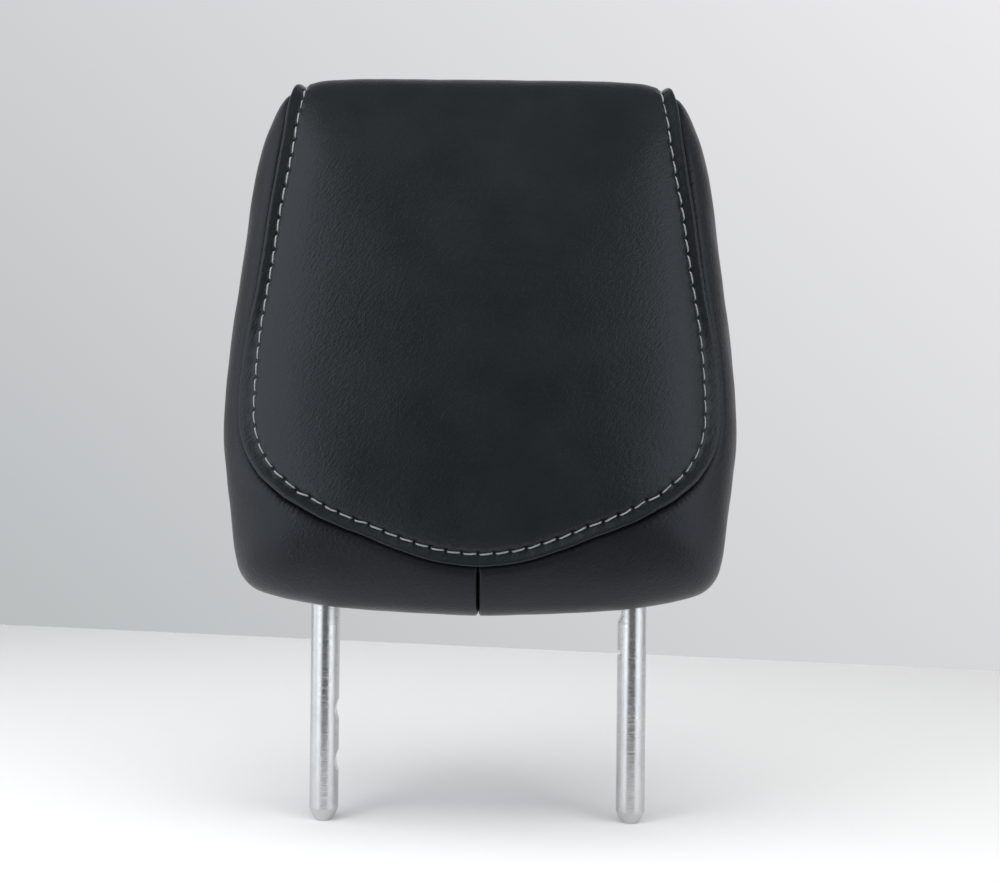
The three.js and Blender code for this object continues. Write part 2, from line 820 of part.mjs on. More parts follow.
const innerSide = postX - tubeDiameter / 2;
const leftNotches = leftNotchHeights.map((height) => (
  pin(leftNotchRadius, -tubeDiameter, tubeDiameter, -innerSide - leftNotchCut + leftNotchRadius, height, 48)
));
const ramp = across([
  [innerSide - 2, rampTop + 1.6],
  [innerSide, rampTop],
  [innerSide + rampCut, rampDeepest],
  [innerSide + rampCut * 0.9, rampDeepest - 1],
  [innerSide, rampEnd],
  [innerSide - 2, rampEnd - 1],
]);
const slot = box(innerSide - 2, innerSide + slotCut, -tubeDiameter, tubeDiameter, slotBottom, slotTop);
const stay = staySolid(0, -postReach, 24).subtract(joined([...leftNotches, ramp, slot]));
addPiece('stay', stay, 0xc9ccd0, 1, 0.25);

// Carrier shells: a plate with a rim, ribs that hold the tube in half-round seats, and a boss at each
// screw.
const tubeSeat = staySolid(seatingGap + 0.1, carrierBottom - 10, 12);
const screwSpots = ribHeights.flatMap((z) => [[-screwColumn, z], [screwColumn, z]]);
const bushHoles = joined([-postX, postX].map((x) => (
  cylinder(bushDiameter / 2 + seatingGap, carrierBottom - 1, carrierBottom + bushRise + seatingGap, x, 0)
)));

function shellSolid(side, depth) {
  const face = side * depth;
  const plate = side * (depth - carrierWall);
  const split = (side * carrierSplit) / 2;
  const span = (one, other) => [Math.min(one, other), Math.max(one, other)];
  const hollow = carrierBlock(-carrierWall, ...span(plate, -side));
  const tray = carrierBlock(0, ...span(face, split)).subtract(hollow);
  const inside = carrierBlock(-carrierWall / 2, ...span(plate, split));
  const depths = span(plate, split);
  const half = carrierWall / 2;
  const ribs = joined([
    ...ribHeights.map((z) => box(-carrierHalfWidth, carrierHalfWidth, ...depths, z - half, z + half)),
    ...ribColumns.map((x) => box(x - half, x + half, ...depths, carrierBottom, carrierTop)),
    ...screwSpots.map(([x, z]) => pin(bossDiameter / 2, ...depths, x, z, 12)),
  ]).intersect(inside);
  return tray.add(ribs).subtract(tubeSeat).subtract(bushHoles);
}

const pilotHoles = joined(screwSpots.map(([x, z]) => (
  pin(screwShank / 2 + seatingGap, -screwReach - 1, carrierRearDepth + 1, x, z)
)));
const headRecesses = joined(screwSpots.map(([x, z]) => (
  pin(screwHead / 2 + 0.5, carrierRearDepth - recessDepth, carrierRearDepth + 1, x, z, 12)
)));
const carrierLook = [0x2b2c2e, 0, 0.6];
addPiece('carrier_front', shellSolid(-1, carrierFrontDepth).subtract(pilotHoles), ...carrierLook);
const rearShell = shellSolid(1, carrierRearDepth).subtract(pilotHoles).subtract(headRecesses);
addPiece('carrier_rear', rearShell, ...carrierLook);

const headSeat = carrierRearDepth - recessDepth + seatingGap;
screwSpots.forEach(([x, z], i) => {
  const shank = pin(screwShank / 2, -screwReach, headSeat + 1, x, z, 12);
  const head = pin(screwHead / 2, headSeat, headSeat + screwHeadHeight, x, z, 16);
  const slotDepths = [headSeat + screwHeadHeight - driveDepth, headSeat + screwHeadHeight + 1];
  const drive = joined([
    box(x - driveReach, x + driveReach, ...slotDepths, z - driveWidth / 2, z + driveWidth / 2),
    box(x - driveWidth / 2, x + driveWidth / 2, ...slotDepths, z - driveReach, z + driveReach),
  ]);
  addPiece(`carrier_screw_${i + 1}`, shank.add(head).subtract(drive), 0x8d9095, 1, 0.4);
});

const flangeTop = carrierBottom - seatingGap;
['left', 'right'].forEach((side, i) => {
  const x = i === 0 ? -postX : postX;
  const bush = cylinder(bushDiameter / 2, flangeTop - 0.5, carrierBottom + bushRise, x, 0)
    .add(cylinder(bushFlange / 2, flangeTop - bushFlangeHeight, flangeTop, x, 0))
    .subtract(cylinder(tubeDiameter / 2 + seatingGap, 0, 2 * carrierTop, x, 0));
  addPiece(`post_bush_${side}`, bush, 0x1d1e20, 0, 0.5);
});

const pad = padSolid(innerFace, innerFace - padThickness, 0);
addPiece('comfort_pad', pad, 0xd9d2b8, 0, 0.95);

const padPocket = padSolid(2, innerFace - padThickness - seatingGap, 0.004);
const roomBelow = 5;
const cavity = carrierBlock(seatingGap, -carrierFrontDepth - seatingGap, carrierRearDepth + seatingGap);
const legHoles = joined([-postX, postX].flatMap((x) => [
  cylinder(tubeDiameter / 2 + postClearance, -roomBelow, carrierBottom + 4, x, 0),
  cylinder(
    bushFlange / 2 + seatingGap,
    flangeTop - bushFlangeHeight - seatingGap,
    carrierBottom + bushRise + 1,
    x,
    0,
  ),
]));
const screwRoom = joined(screwSpots.map(([x, z]) => (
  pin(screwHead / 2 + 0.6, carrierRearDepth - 1, headSeat + screwHeadHeight + seatingGap, x, z, 12)
)));
const stripReach = stripFoot + stripWall + seatingGap;
const stripTop = stripFootLevel + stripHookRise;
const stripRoom = box(
  -stripHalfLength - seatingGap,
  stripHalfLength + seatingGap,
  -stripReach - 0.5,
  stripReach + 0.5,
  -roomBelow,
  stripTop + seatingGap,
);
const core = coreSolid().subtract(joined([padPocket, cavity, legHoles, screwRoom, stripRoom]));
addPiece('foam_core', core, 0xcfc9b4, 0, 0.95);

// Closure strips: the front one hooks down over the rear one's upright lip.
function stripSolid(profile) {
  const shape = new THREE.Shape(profile.map(([y, z]) => new THREE.Vector2(y, z)));
  const geometry = new THREE.ExtrudeGeometry(shape, { depth: 2 * stripHalfLength, bevelEnabled: false });
  geometry.rotateX(Math.PI / 2);
  geometry.rotateZ(Math.PI / 2);
  geometry.translate(-stripHalfLength, 0, 0);
  return solidOf(geometry);
}
const hookWall = -stripWall;
const hookSide = hookWall + 2 * seatingGap + stripLip;
const hookEnd = stripFootLevel + 2.4 * stripWall + seatingGap;
const frontStrip = stripSolid([
  [hookWall - stripFoot, stripFootLevel],
  [hookWall, stripFootLevel],
  [hookWall, stripTop - stripWall],
  [hookSide, stripTop - stripWall],
  [hookSide, hookEnd],
  [hookSide + stripWall, hookEnd],
  [hookSide + stripWall, stripTop],
  [hookWall - stripWall, stripTop],
  [hookWall - stripWall, stripFootLevel + stripWall],
  [hookWall - stripFoot, stripFootLevel + stripWall],
]);
addPiece('closure_strip_front', frontStrip, 0x222326, 0, 0.5);
const lipSide = hookWall + seatingGap;
const rearWall = hookSide + stripWall + seatingGap;
const lipTop = stripTop - stripWall - seatingGap;
const rearStrip = stripSolid([
  [lipSide, stripFootLevel + 1.4 * stripWall],
  [rearWall, stripFootLevel + 1.4 * stripWall],
  [rearWall, stripFootLevel],
  [rearWall + stripFoot, stripFootLevel],
  [rearWall + stripFoot, stripFootLevel + stripWall],
  [rearWall + stripWall, stripFootLevel + stripWall],
  [rearWall + stripWall, hookEnd - seatingGap],
  [lipSide + stripLip, hookEnd - seatingGap],
  [lipSide + stripLip, lipTop],
  [lipSide, lipTop],
]);
addPiece('closure_strip_rear', rearStrip, 0x222326, 0, 0.5);

meshes.forEach((mesh) => mesh.geometry.computeVertexNormals());
const group = new THREE.Group();
meshes.forEach((mesh) => group.add(mesh));
export default group;
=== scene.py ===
import math

import bmesh
import bpy
import numpy as np
from mathutils import Matrix, Vector
from mathutils.kdtree import KDTree


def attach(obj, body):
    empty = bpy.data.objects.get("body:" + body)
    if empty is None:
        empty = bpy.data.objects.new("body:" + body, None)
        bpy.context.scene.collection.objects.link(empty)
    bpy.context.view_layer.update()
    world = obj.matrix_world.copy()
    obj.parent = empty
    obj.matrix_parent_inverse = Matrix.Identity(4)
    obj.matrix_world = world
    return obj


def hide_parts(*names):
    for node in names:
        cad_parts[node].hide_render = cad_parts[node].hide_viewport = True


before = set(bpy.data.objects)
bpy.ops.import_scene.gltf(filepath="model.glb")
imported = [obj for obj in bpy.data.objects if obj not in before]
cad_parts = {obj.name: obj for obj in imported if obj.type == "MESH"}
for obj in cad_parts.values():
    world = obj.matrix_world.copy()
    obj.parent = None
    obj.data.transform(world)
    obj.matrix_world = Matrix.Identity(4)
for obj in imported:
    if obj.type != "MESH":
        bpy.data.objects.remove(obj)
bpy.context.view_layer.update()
print("frame loaded")

# Sizes in millimetres, as the solids have them. Meshes, patterns, lamps and the camera are in metres.
mm = 0.001
cushion = {
    "width": 243.6,
    "height": 251,
    "centreHeight": 116,
    "outline": [(0, 0), (60, 2.2), (80, 4.3), (95, 7.3), (107.5, 12), (113.3, 18.5), (115.7, 27),
                (117.8, 42), (120.3, 64), (121.8, 88), (119.4, 121), (114.8, 153), (110, 186), (105.6, 212),
                (100.2, 229), (91.8, 243.5), (79.8, 249.4), (60, 251), (0, 251)],
    "heights": [0, 60, 125, 190, 251],
    "middle": [0, -4, -9, -15, -21],
    "front": [50, 57, 56, 46, 34],
    "back": [36, 44, 44, 36, 26],
    "sideRoundness": 3,
    "topRoundness": 3.2,
    "baseRoundness": 5,
}
seams = {
    "front": [(0, 25.8), (20, 28.1), (38, 33.8), (57, 41.4), (73.7, 48.5), (89.2, 57.3), (100.6, 67.4),
              (107.3, 79), (110, 92), (109.2, 112), (105.8, 134), (101.5, 155), (97.5, 183), (94, 205),
              (91.5, 222), (89.3, 239)],
    "topHalfWidth": 86.8,
    "rear": [(83.5, 239), (81.5, 222), (83, 204), (86, 182), (90, 155), (93, 134), (96, 110), (98, 85),
             (97, 60), (95.5, 35), (93.6, 16)],
    "closureHalfWidth": 93,
    "crossHeight": 226,
    "crossKnot": 18,
}
posts = {"diameter": 14, "spacing": 149.4, "reach": 102.2}


# The cushion's skin, as in the solids: chart coordinates (a, b) run right and up, and their distance s from
# the middle is 0 at the middle of the front, 1 on the outline and 2 at the middle of the back.
def curveThrough(points):
    pts = np.array(points, float)
    count = len(pts)

    def at(knot):
        knot = np.clip(np.asarray(knot, float), 0, count - 1)
        i = np.minimum(knot.astype(int), count - 2)
        t = (knot - i)[..., None]
        p1, p2 = pts[i], pts[i + 1]
        p0 = np.where((i > 0)[..., None], pts[np.maximum(i - 1, 0)], 2 * p1 - p2)
        p3 = np.where((i + 2 < count)[..., None], pts[np.minimum(i + 2, count - 1)], 2 * p2 - p1)

        def gap(u, v):
            return np.maximum(np.linalg.norm(u - v, axis=-1, keepdims=True) ** 0.5, 1e-4)

        d0, d1, d2 = gap(p0, p1), gap(p1, p2), gap(p2, p3)
        m1 = ((p1 - p0) / d0 - (p2 - p0) / (d0 + d1) + (p2 - p1) / d1) * d1
        m2 = ((p2 - p1) / d1 - (p3 - p1) / (d1 + d2) + (p3 - p2) / d2) * d1
        return ((2 * t**3 - 3 * t**2 + 1) * p1 + (t**3 - 2 * t**2 + t) * m1
                + (3 * t**2 - 2 * t**3) * p2 + (t**3 - t**2) * m2)

    return at


def outlineTable():
    right = cushion["outline"]
    points = [(-right[1][0], right[1][1])] + right + [(-right[-2][0], right[-2][1])]
    line = curveThrough(points)(np.linspace(1, len(points) - 2, 40 * (len(points) - 3) + 1))
    x, z = np.maximum(line[:, 0], 0), line[:, 1] - cushion["centreHeight"]
    return np.arctan2(z, x), np.hypot(x, z)


outlineAngle, outlineReach = outlineTable()
depthAt = {}
for key in ("middle", "front", "back"):
    depthAt[key] = curveThrough(list(zip(cushion["heights"], cushion[key])))(np.linspace(0, 4, 161))


def reachAt(angle):
    folded = np.arctan2(np.sin(angle), np.abs(np.cos(angle)))
    return np.interp(folded, outlineAngle, outlineReach)


def depthOf(key, z):
    return np.interp(z, depthAt[key][:, 0], depthAt[key][:, 1])


def roundnessAt(angle):
    up = np.sin(angle)
    side, top, base = cushion["sideRoundness"], cushion["topRoundness"], cushion["baseRoundness"]
    return side + (np.where(up > 0, top, base) - side) * up * up


def skin(at):
    a, b = at[..., 0], at[..., 1]
    s, angle = np.hypot(a, b), np.arctan2(b, a)
    turn, power = s * np.pi / 2, roundnessAt(angle)
    r = (np.abs(np.sin(turn)) ** power + np.abs(np.cos(turn)) ** power) ** (-1 / power)
    across = r * np.sin(turn) * reachAt(angle)
    toFront = r * np.cos(turn)
    z = cushion["centreHeight"] + across * np.sin(angle)
    y = depthOf("middle", z) - toFront * np.where(toFront > 0, depthOf("front", z), depthOf("back", z))
    return np.stack([across * np.cos(angle), y, z], -1)


def throughBack(at):
    s = np.maximum(np.linalg.norm(at, axis=-1, keepdims=True), 1e-7)
    return at * (2 - s) / s


def skinNormal(at):
    step = 2e-3
    da, db = np.array([step, 0]), np.array([0, step])
    normal = np.cross(skin(at + da) - skin(at - da), skin(at + db) - skin(at - db))
    return normal / np.maximum(np.linalg.norm(normal, axis=-1, keepdims=True), 1e-12)


def chartOfFront(x, z):
    angle = np.arctan2(z - cushion["centreHeight"], x)
    across = min(math.hypot(x, z - cushion["centreHeight"]) / float(reachAt(angle)), 0.99999)
    power = float(roundnessAt(angle))
    toFront = (1 - across**power) ** (1 / power)
    s = math.atan2(across, toFront) * 2 / math.pi
    return np.array([s * math.cos(angle), s * math.sin(angle)])


def chartOfOutline(x, top):
    angles = np.linspace(0.3, math.pi / 2, 4001) * (1 if top else -1)
    angle = angles[np.argmin(np.abs(reachAt(angles) * np.cos(angles) - x))]
    return np.array([math.cos(angle), math.sin(angle)])


loopPoints = ([chartOfFront(x, z) for x, z in seams["front"]] + [chartOfOutline(seams["topHalfWidth"], True)]
              + [throughBack(chartOfFront(x, z)) for x, z in seams["rear"]]
              + [chartOfOutline(seams["closureHalfWidth"], False)])
seamCurve = curveThrough([loopPoints[1] * np.array([-1, 1])] + loopPoints)
lastKnot = len(loopPoints) - 1
apexKnot = len(seams["front"])


def seamLoop(knot):
    return seamCurve(np.asarray(knot, float) + 1)


crossEndBack = throughBack(seamLoop(seams["crossKnot"]))
crossMiddleBack = chartOfFront(0, seams["crossHeight"])
crossMiddle = throughBack(crossMiddleBack)


def crossSeam(part):
    part = np.asarray(part, float)[..., None]
    a = crossEndBack[0] * (1 - part)
    b = crossEndBack[1] + (crossMiddleBack[1] - crossEndBack[1]) * part * (2 - part)
    return throughBack(np.concatenate([a, b], -1))


def smooth(x, low, high):
    t = np.clip((x - low) / (high - low), 0, 1)
    return t * t * (3 - 2 * t)


# Smooth noise that is the same in every run, from a few sine waves of unlike direction
def ripple(points, size, seed):
    rng = np.random.default_rng(seed)
    total = np.zeros(points.shape[:-1])
    for i in range(7):
        direction = rng.normal(size=3)
        direction /= np.linalg.norm(direction)
        scale = size * rng.uniform(0.7, 1.6)
        total += np.sin(points @ direction * 2 * np.pi / scale + rng.uniform(0, 2 * np.pi))
    return total / 7**0.5


def makeMesh(name, verts, faces, material):
    mesh = bpy.data.meshes.new(name)
    corners = [tuple(v) for v in np.asarray(verts) * mm]
    mesh.from_pydata(corners, [], [tuple(int(i) for i in f) for f in faces])
    mesh.validate()
    mesh.polygons.foreach_set("use_smooth", [True] * len(mesh.polygons))
    obj = bpy.data.objects.new(name, mesh)
    bpy.context.scene.collection.objects.link(obj)
    obj.data.materials.append(material)
    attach(obj, "root")
    return obj


def gridFaces(rows, columns, flip):
    i, j = np.meshgrid(np.arange(rows - 1), np.arange(columns - 1), indexing="ij")
    p = (i * columns + j).ravel()
    quads = np.stack([p, p + columns, p + columns + 1, p + 1], -1)
    return quads[:, ::-1] if flip else quads


# Colours and material nodes
def colour(hexCode):
    values = [int(hexCode[i:i + 2], 16) / 255 for i in (0, 2, 4)]
    linear = [v / 12.92 if v <= 0.04045 else ((v + 0.055) / 1.055) ** 2.4 for v in values]
    return (*linear, 1)


def newMaterial(name, **sockets):
    material = bpy.data.materials.new(name)
    material.use_nodes = True
    shader = material.node_tree.nodes["Principled BSDF"]
    for key, value in sockets.items():
        shader.inputs[key.replace("_", " ")].default_value = value
    return material, shader


def addNode(material, kind, inputs=None, **settings):
    node = material.node_tree.nodes.new("ShaderNode" + kind)
    for key, value in settings.items():
        setattr(node, key, value)
    for key, value in (inputs or {}).items():
        if isinstance(value, bpy.types.NodeSocket):
            material.node_tree.links.new(value, node.inputs[key])
        else:
            node.inputs[key].default_value = value
    return node


def link(material, output, socket):
    material.node_tree.links.new(output, socket)


def ramp(material, factor, stops):
    node = addNode(material, "ValToRGB", {"Fac": factor})
    elements = node.color_ramp.elements
    while len(elements) < len(stops):
        elements.new(0.5)
    for element, (place, value) in zip(elements, stops):
        element.position = place
        element.color = colour(value) if isinstance(value, str) else (value, value, value, 1)
    return node.outputs["Color"]


# A close row of points on the skin, with the length run up to each, that the relief is measured from
def denseLine(chartPoints):
    points = skin(chartPoints)
    steps = np.linalg.norm(np.diff(points, axis=0), axis=1)
    return points, np.concatenate([[0], np.cumsum(steps)])


def mirrorPoints(points):
    return points * np.array([-1, 1, 1])


class Nearest:
    def __init__(self, points):
        self.points = points
        self.tree = KDTree(len(points))
        for i, point in enumerate(points):
            self.tree.insert(point, i)
        self.tree.balance()

    def measure(self, places):
        flat = places.reshape(-1, 3)
        found = [self.tree.find(place) for place in flat]
        index = np.array([item[1] for item in found]).reshape(places.shape[:-1])
        distance = np.array([item[2] for item in found]).reshape(places.shape[:-1])
        return distance, index


seamSteps = 9000
seamKnots = np.linspace(0, lastKnot, seamSteps + 1)
seamLine, seamLengths = denseLine(seamLoop(seamKnots))
crossLine, _ = denseLine(crossSeam(np.linspace(0, 1, 1201)))
# Where the row of the insert's chart that leaves each knot of the seam meets the middle line
spine = np.array([(0, -0.22), (8, -0.08), (9, -0.02), (10, 0.08), (11, 0.19), (12, 0.3), (13, 0.41),
                  (14, 0.5), (15, 0.64), (16, 0.9), (17, 1.14), (seams["crossKnot"], crossMiddle[1])])


# The insert as rows from the seam (share 0) to the middle line (share 1), turning into the cross seam at last
def insertChart(knots, shares):
    last = seams["crossKnot"]
    before = last - 1
    seam = seamLoop(knots)[:, None]
    middle = np.stack([np.zeros_like(knots), np.interp(knots, spine[:, 0], spine[:, 1])], -1)[:, None]
    r = shares[..., None]
    plain = seam + (middle - seam) * r
    turn = np.clip(knots - before, 0, 1)[:, None, None]
    start, end = seamLoop(before), seamLoop(last)
    top = np.array([0, np.interp(before, spine[:, 0], spine[:, 1])])
    rowBefore = start + (top - start) * r
    offSeam = seam - (start + (end - start) * turn)
    turned = rowBefore + (crossSeam(shares) - rowBefore) * turn + offSeam * (1 - r)
    return np.where((knots > before)[:, None, None], turned, plain)


# A smooth line through rows of distance and height, read by distance
def profile(points):
    line = curveThrough(points)(np.linspace(0, len(points) - 1, 40 * (len(points) - 1) + 1))
    return lambda distance: np.interp(distance, line[:, 0], line[:, 1])


# The shares of a chart's rows that lie set distances from the edge that the rows start at
def sharesFrom(edgeChart, rowChart, columns, distances):
    small = 1e-3
    along = skin(edgeChart(columns + small)) - skin(edgeChart(columns - small))
    along /= np.maximum(np.linalg.norm(along, axis=-1, keepdims=True), 1e-9)
    zero = np.zeros((len(columns), 1))
    leaving = (skin(rowChart(columns, zero + small)) - skin(rowChart(columns, zero)))[:, 0] / small
    leaving -= along * (leaving * along).sum(-1, keepdims=True)
    return distances[None, :] / np.maximum(np.linalg.norm(leaving, axis=-1, keepdims=True), 1e-6)


# Leather relief. Distances run away from the seam, heights stand out of the skin.
bandRelief = profile([(-0.4, -2.4), (0, -2.1), (0.35, -1.4), (0.75, -0.2), (1.15, 0.8), (1.6, 1.3),
                      (2.2, 1.3), (3.0, 0.75), (3.9, -0.05), (4.7, -0.7), (5.3, -1.0), (5.9, -1.05),
                      (6.5, -0.8), (7.3, -0.25), (8.8, 0.4), (11.5, 0.85), (16, 1.3), (23, 1.6),
                      (33, 1.5), (46, 1.1), (70, 0.6), (400, 0.4)])
panelRelief = profile([(-0.4, -2.8), (0, -2.6), (0.5, -2.2), (1.2, -1.3), (2.1, -0.65), (3.8, -0.15),
                       (6.5, 0.1), (10, 0.2), (16, 0.15), (24, 0), (400, 0)])
plainRelief = profile([(-0.4, -2.0), (0, -1.6), (0.4, -0.9), (0.9, -0.35), (1.7, 0), (3, 0.25),
                       (5.5, 0.3), (10, 0.1), (16, 0), (400, 0)])
middleRelief = profile([(-0.4, -2.4), (0, -2.4), (0.3, -2.1), (0.6, -1.1), (1.0, -0.45), (1.6, -0.05),
                        (2.6, 0.2), (5.5, 0.25), (10, 0.1), (16, 0), (400, 0)])
stitching = {
    "knots": [0, 4.5, 5.5, 6.5, 7.5, 8.8, 9.5, 10.2, 10.8],
    "fromSeam": [6.0, 5.9, 6.5, 7.5, 8.4, 8.6, 7.8, 6.6, 5.9],
    "pitch": 7.35,
    "length": 6.0,
    "radius": 0.46,
    "slant": 0.5,
    "sides": 10,
    "steps": 16,
    "turns": 2.2,
    "hole": 0.6,
    "holeDepth": 1.2,
    "pucker": 0.14,
}

frontSeamCount = int(round(seamSteps * apexKnot / lastKnot))
crossCount = int(round(seamSteps * seams["crossKnot"] / lastKnot))
seamUpToCross = seamLine[:crossCount + 1]
nearSeam = Nearest(np.concatenate([seamUpToCross, mirrorPoints(seamUpToCross)]))
nearCross = Nearest(np.concatenate([crossLine, mirrorPoints(crossLine)]))

# The band has a raised lip along the seam, which keeps its width where the stitches run further in. Knots say
# where along the seam it stands higher, over the top edge. Sizes of unevenness are a height and a wavelength.
band = {
    "lip": 2.6,
    "topFrom": (14.2, 16),
    "topUntil": (16.4, 17.4),
    "topGain": 0.75,
    "flatFrom": (13.5, 15.5),
    "flatLoss": 0.75,
    "grooveGain": 0.1,
    "bulge": 0.55,
    "gather": 0.06,
    "slow": (0.16, 44),
    "quick": (0.05, 15),
    "crown": 0.8,
    "crownReach": 55,
}

# Stitch line on the right half: a row of points a set distance inside the seam.
stitchKnots = np.linspace(0, seams["crossKnot"] - 0.05, 2401)
stitchReach = profile(list(zip(stitching["knots"], stitching["fromSeam"])))
stitchShares = sharesFrom(seamLoop, insertChart, np.maximum(stitchKnots, 0.01), np.array([1.0]))
stitchShares = stitchShares * stitchReach(stitchKnots)[:, None]
stitchChart = insertChart(stitchKnots, stitchShares)[:, 0]
stitchChart[0, 0] = 0
stitchLine, stitchLengths = denseLine(stitchChart)
nearStitch = Nearest(stitchLine)
print("lines measured")


def insertSurface(chart):
    base, normal = skin(chart), skinNormal(chart)
    fromSeam, seamIndex = nearSeam.measure(base)
    fromCross, _ = nearCross.measure(base)
    knot = seamKnots[seamIndex % (crossCount + 1)]
    reach = stitchReach(knot)
    usual, lip = stitching["fromSeam"][0], band["lip"]
    spread = np.where(fromSeam < lip, fromSeam, lip + (fromSeam - lip) * (usual - lip) / (reach - lip))
    height = bandRelief(np.where(fromSeam < reach, spread, fromSeam - reach + usual))
    # Over the top edge the band stands higher, and the leather behind it lies flatter
    atTop = smooth(knot, *band["topFrom"]) * (1 - smooth(knot, *band["topUntil"]))
    higher = 1 + band["topGain"] * atTop
    flatter = 1 - band["flatLoss"] * smooth(knot, *band["flatFrom"])
    deeper = 1 + band["grooveGain"] * atTop * smooth(fromSeam, 3, 5)
    height = np.where(height > 0, height * np.where(fromSeam < reach, higher, flatter), height * deeper)
    atBack = panelRelief(fromCross)
    height = np.where(fromCross < 24, np.minimum(height, atBack + 1.2 * smooth(fromCross, 2, 14)), height)
    fromStitch, stitchIndex = nearStitch.measure(base)
    along = stitchLengths[stitchIndex] / stitching["pitch"]
    toHole = np.abs(along - np.round(along)) * stitching["pitch"]
    hole = np.exp(-(toHole**2 + fromStitch**2) / (2 * stitching["hole"]**2))
    height -= stitching["holeDepth"] * hole
    height -= stitching["pucker"] * np.cos(2 * np.pi * along) * np.exp(-((fromStitch - 1.6) / 1.5)**2)
    # Small gathers along the seam, and the slow unevenness of leather over foam
    gather = np.sin(along * 2 * np.pi / 2.3 + 2 * np.sin(along * 0.9)) * np.exp(-((fromSeam - lip) / 2.2)**2)
    height += band["gather"] * gather
    slow, slowSize = band["slow"]
    height += slow * ripple(base, slowSize, 3) * smooth(fromSeam, 6, 30)
    quick, quickSize = band["quick"]
    height += quick * ripple(base * np.array([1, 1, 0.5]), quickSize, 5) * smooth(fromSeam, 8, 14)
    # The top edge rises a little towards its middle
    height += band["crown"] * np.exp(-(base[..., 0] / band["crownReach"])**2) * smooth(base[..., 2], 215, 248)
    # The lip leans over the seam
    outward = nearSeam.points[seamIndex] - base
    outward /= np.maximum(np.linalg.norm(outward, axis=-1, keepdims=True), 0.15)
    bulge = band["bulge"] * np.exp(-((fromSeam - 1.1) / 0.7)**2) * smooth(fromSeam, 0.1, 0.6)
    return base + normal * height[..., None] + outward * bulge[..., None]


def buildHalfAndMirror(name, parts, material, mirror=True):
    verts, faces, count = [], [], 0
    for grid, flip in parts:
        rows, columns = grid.shape[:2]
        verts.append(grid.reshape(-1, 3))
        faces.append(gridFaces(rows, columns, flip) + count)
        count += rows * columns
        if mirror:
            verts.append(mirrorPoints(grid.reshape(-1, 3)))
            faces.append(gridFaces(rows, columns, not flip) + count)
            count += rows * columns
    obj = makeMesh(name, np.concatenate(verts), np.concatenate(faces), material)
    tidy = bmesh.new()
    tidy.from_mesh(obj.data)
    bmesh.ops.remove_doubles(tidy, verts=tidy.verts, dist=2e-5)
    bmesh.ops.recalc_face_normals(tidy, faces=tidy.faces)
    tidy.to_mesh(obj.data)
    tidy.free()
    return obj


# Black grained leather: a soft broad sheen with pebbles small enough to read only as a fine break in it
def leather(name, base, light, roughness, gloss):
    material, shader = newMaterial(name, Specular_IOR_Level=gloss, Specular_Tint=(0.86, 0.92, 1, 1))
    place = addNode(material, "TexCoord").outputs["Object"]
    pebbles = addNode(material, "TexVoronoi", {"Vector": place, "Scale": 1 / 0.0008, "Randomness": 0.9},
                      feature="DISTANCE_TO_EDGE")
    pebbleHeight = ramp(material, pebbles.outputs["Distance"], [(0.0, 0.0), (0.22, 1.0)])
    leaning = addNode(material, "VectorRotate", {"Vector": place, "Angle": math.radians(-42)},
                      rotation_type="Y_AXIS")
    stretch = addNode(material, "Mapping", {"Vector": leaning.outputs["Vector"], "Scale": (1, 0.7, 0.42)})
    creases = addNode(material, "TexNoise", {"Vector": stretch.outputs["Vector"], "Scale": 1 / 0.001,
                                             "Detail": 2.0, "Roughness": 0.5})
    patches = addNode(material, "TexNoise", {"Vector": place, "Scale": 1 / 0.03,
                                             "Detail": 2.0, "Roughness": 0.5})
    fine = addNode(material, "TexNoise", {"Vector": place, "Scale": 1 / 0.0003,
                                          "Detail": 2.0, "Roughness": 0.6})
    tone = ramp(material, patches.outputs["Fac"], [(0.3, base), (0.75, light)])
    link(material, tone, shader.inputs["Base Color"])
    shine = addNode(material, "MapRange", {"Value": patches.outputs["Fac"], "From Min": 0.3, "From Max": 0.7,
                                           "To Min": roughness - 0.03, "To Max": roughness + 0.04})
    link(material, shine.outputs["Result"], shader.inputs["Roughness"])
    first = addNode(material, "Bump", {"Height": pebbleHeight, "Strength": 0.4, "Distance": 0.0001})
    second = addNode(material, "Bump", {"Height": creases.outputs["Fac"], "Strength": 0.8, "Distance": 0.0003,
                                        "Normal": first.outputs["Normal"]})
    third = addNode(material, "Bump", {"Height": fine.outputs["Fac"], "Strength": 0.25, "Distance": 0.00004,
                                       "Normal": second.outputs["Normal"]})
    link(material, third.outputs["Normal"], shader.inputs["Normal"])
    return material


insertLeather = leather("black leather insert", "16191a", "1b1e1f", 0.34, 0.38)
sideLeather = leather("black leather sides", "121316", "161719", 0.36, 0.34)

# Front insert with its band, groove and needle holes
insertSizes = {"columns": 620, "fineRows": 34, "fineTo": 14, "wideRows": 22}
insertAlong = np.arange(insertSizes["columns"] + 1) / insertSizes["columns"] * seamLengths[crossCount]
insertKnots = np.interp(insertAlong, seamLengths, seamKnots)
insertKnots[-1] = seams["crossKnot"] - 0.004
fineDistances = np.linspace(0, insertSizes["fineTo"], insertSizes["fineRows"] + 1)
fineShares = sharesFrom(seamLoop, insertChart, np.clip(insertKnots, 0.01, seams["crossKnot"] - 0.02),
                        fineDistances)
limits = 0.75 * np.linspace(0, 1, insertSizes["fineRows"] + 1)
fineShares = np.minimum(fineShares, limits)
wide = np.linspace(0, 1, insertSizes["wideRows"] + 1)[1:]
wide = 0.6 * wide + 0.4 * wide**2
shares = np.concatenate([fineShares, fineShares[:, -1:] + (1 - fineShares[:, -1:]) * wide], axis=1)
insertGrid = insertChart(insertKnots, shares)
insertGrid[0, :, 0] = 0
insertGrid[:, -1, 0] = 0
insertVerts = insertSurface(insertGrid)
insertVerts[0, :, 0] = 0
insertVerts[:, -1, 0] = 0


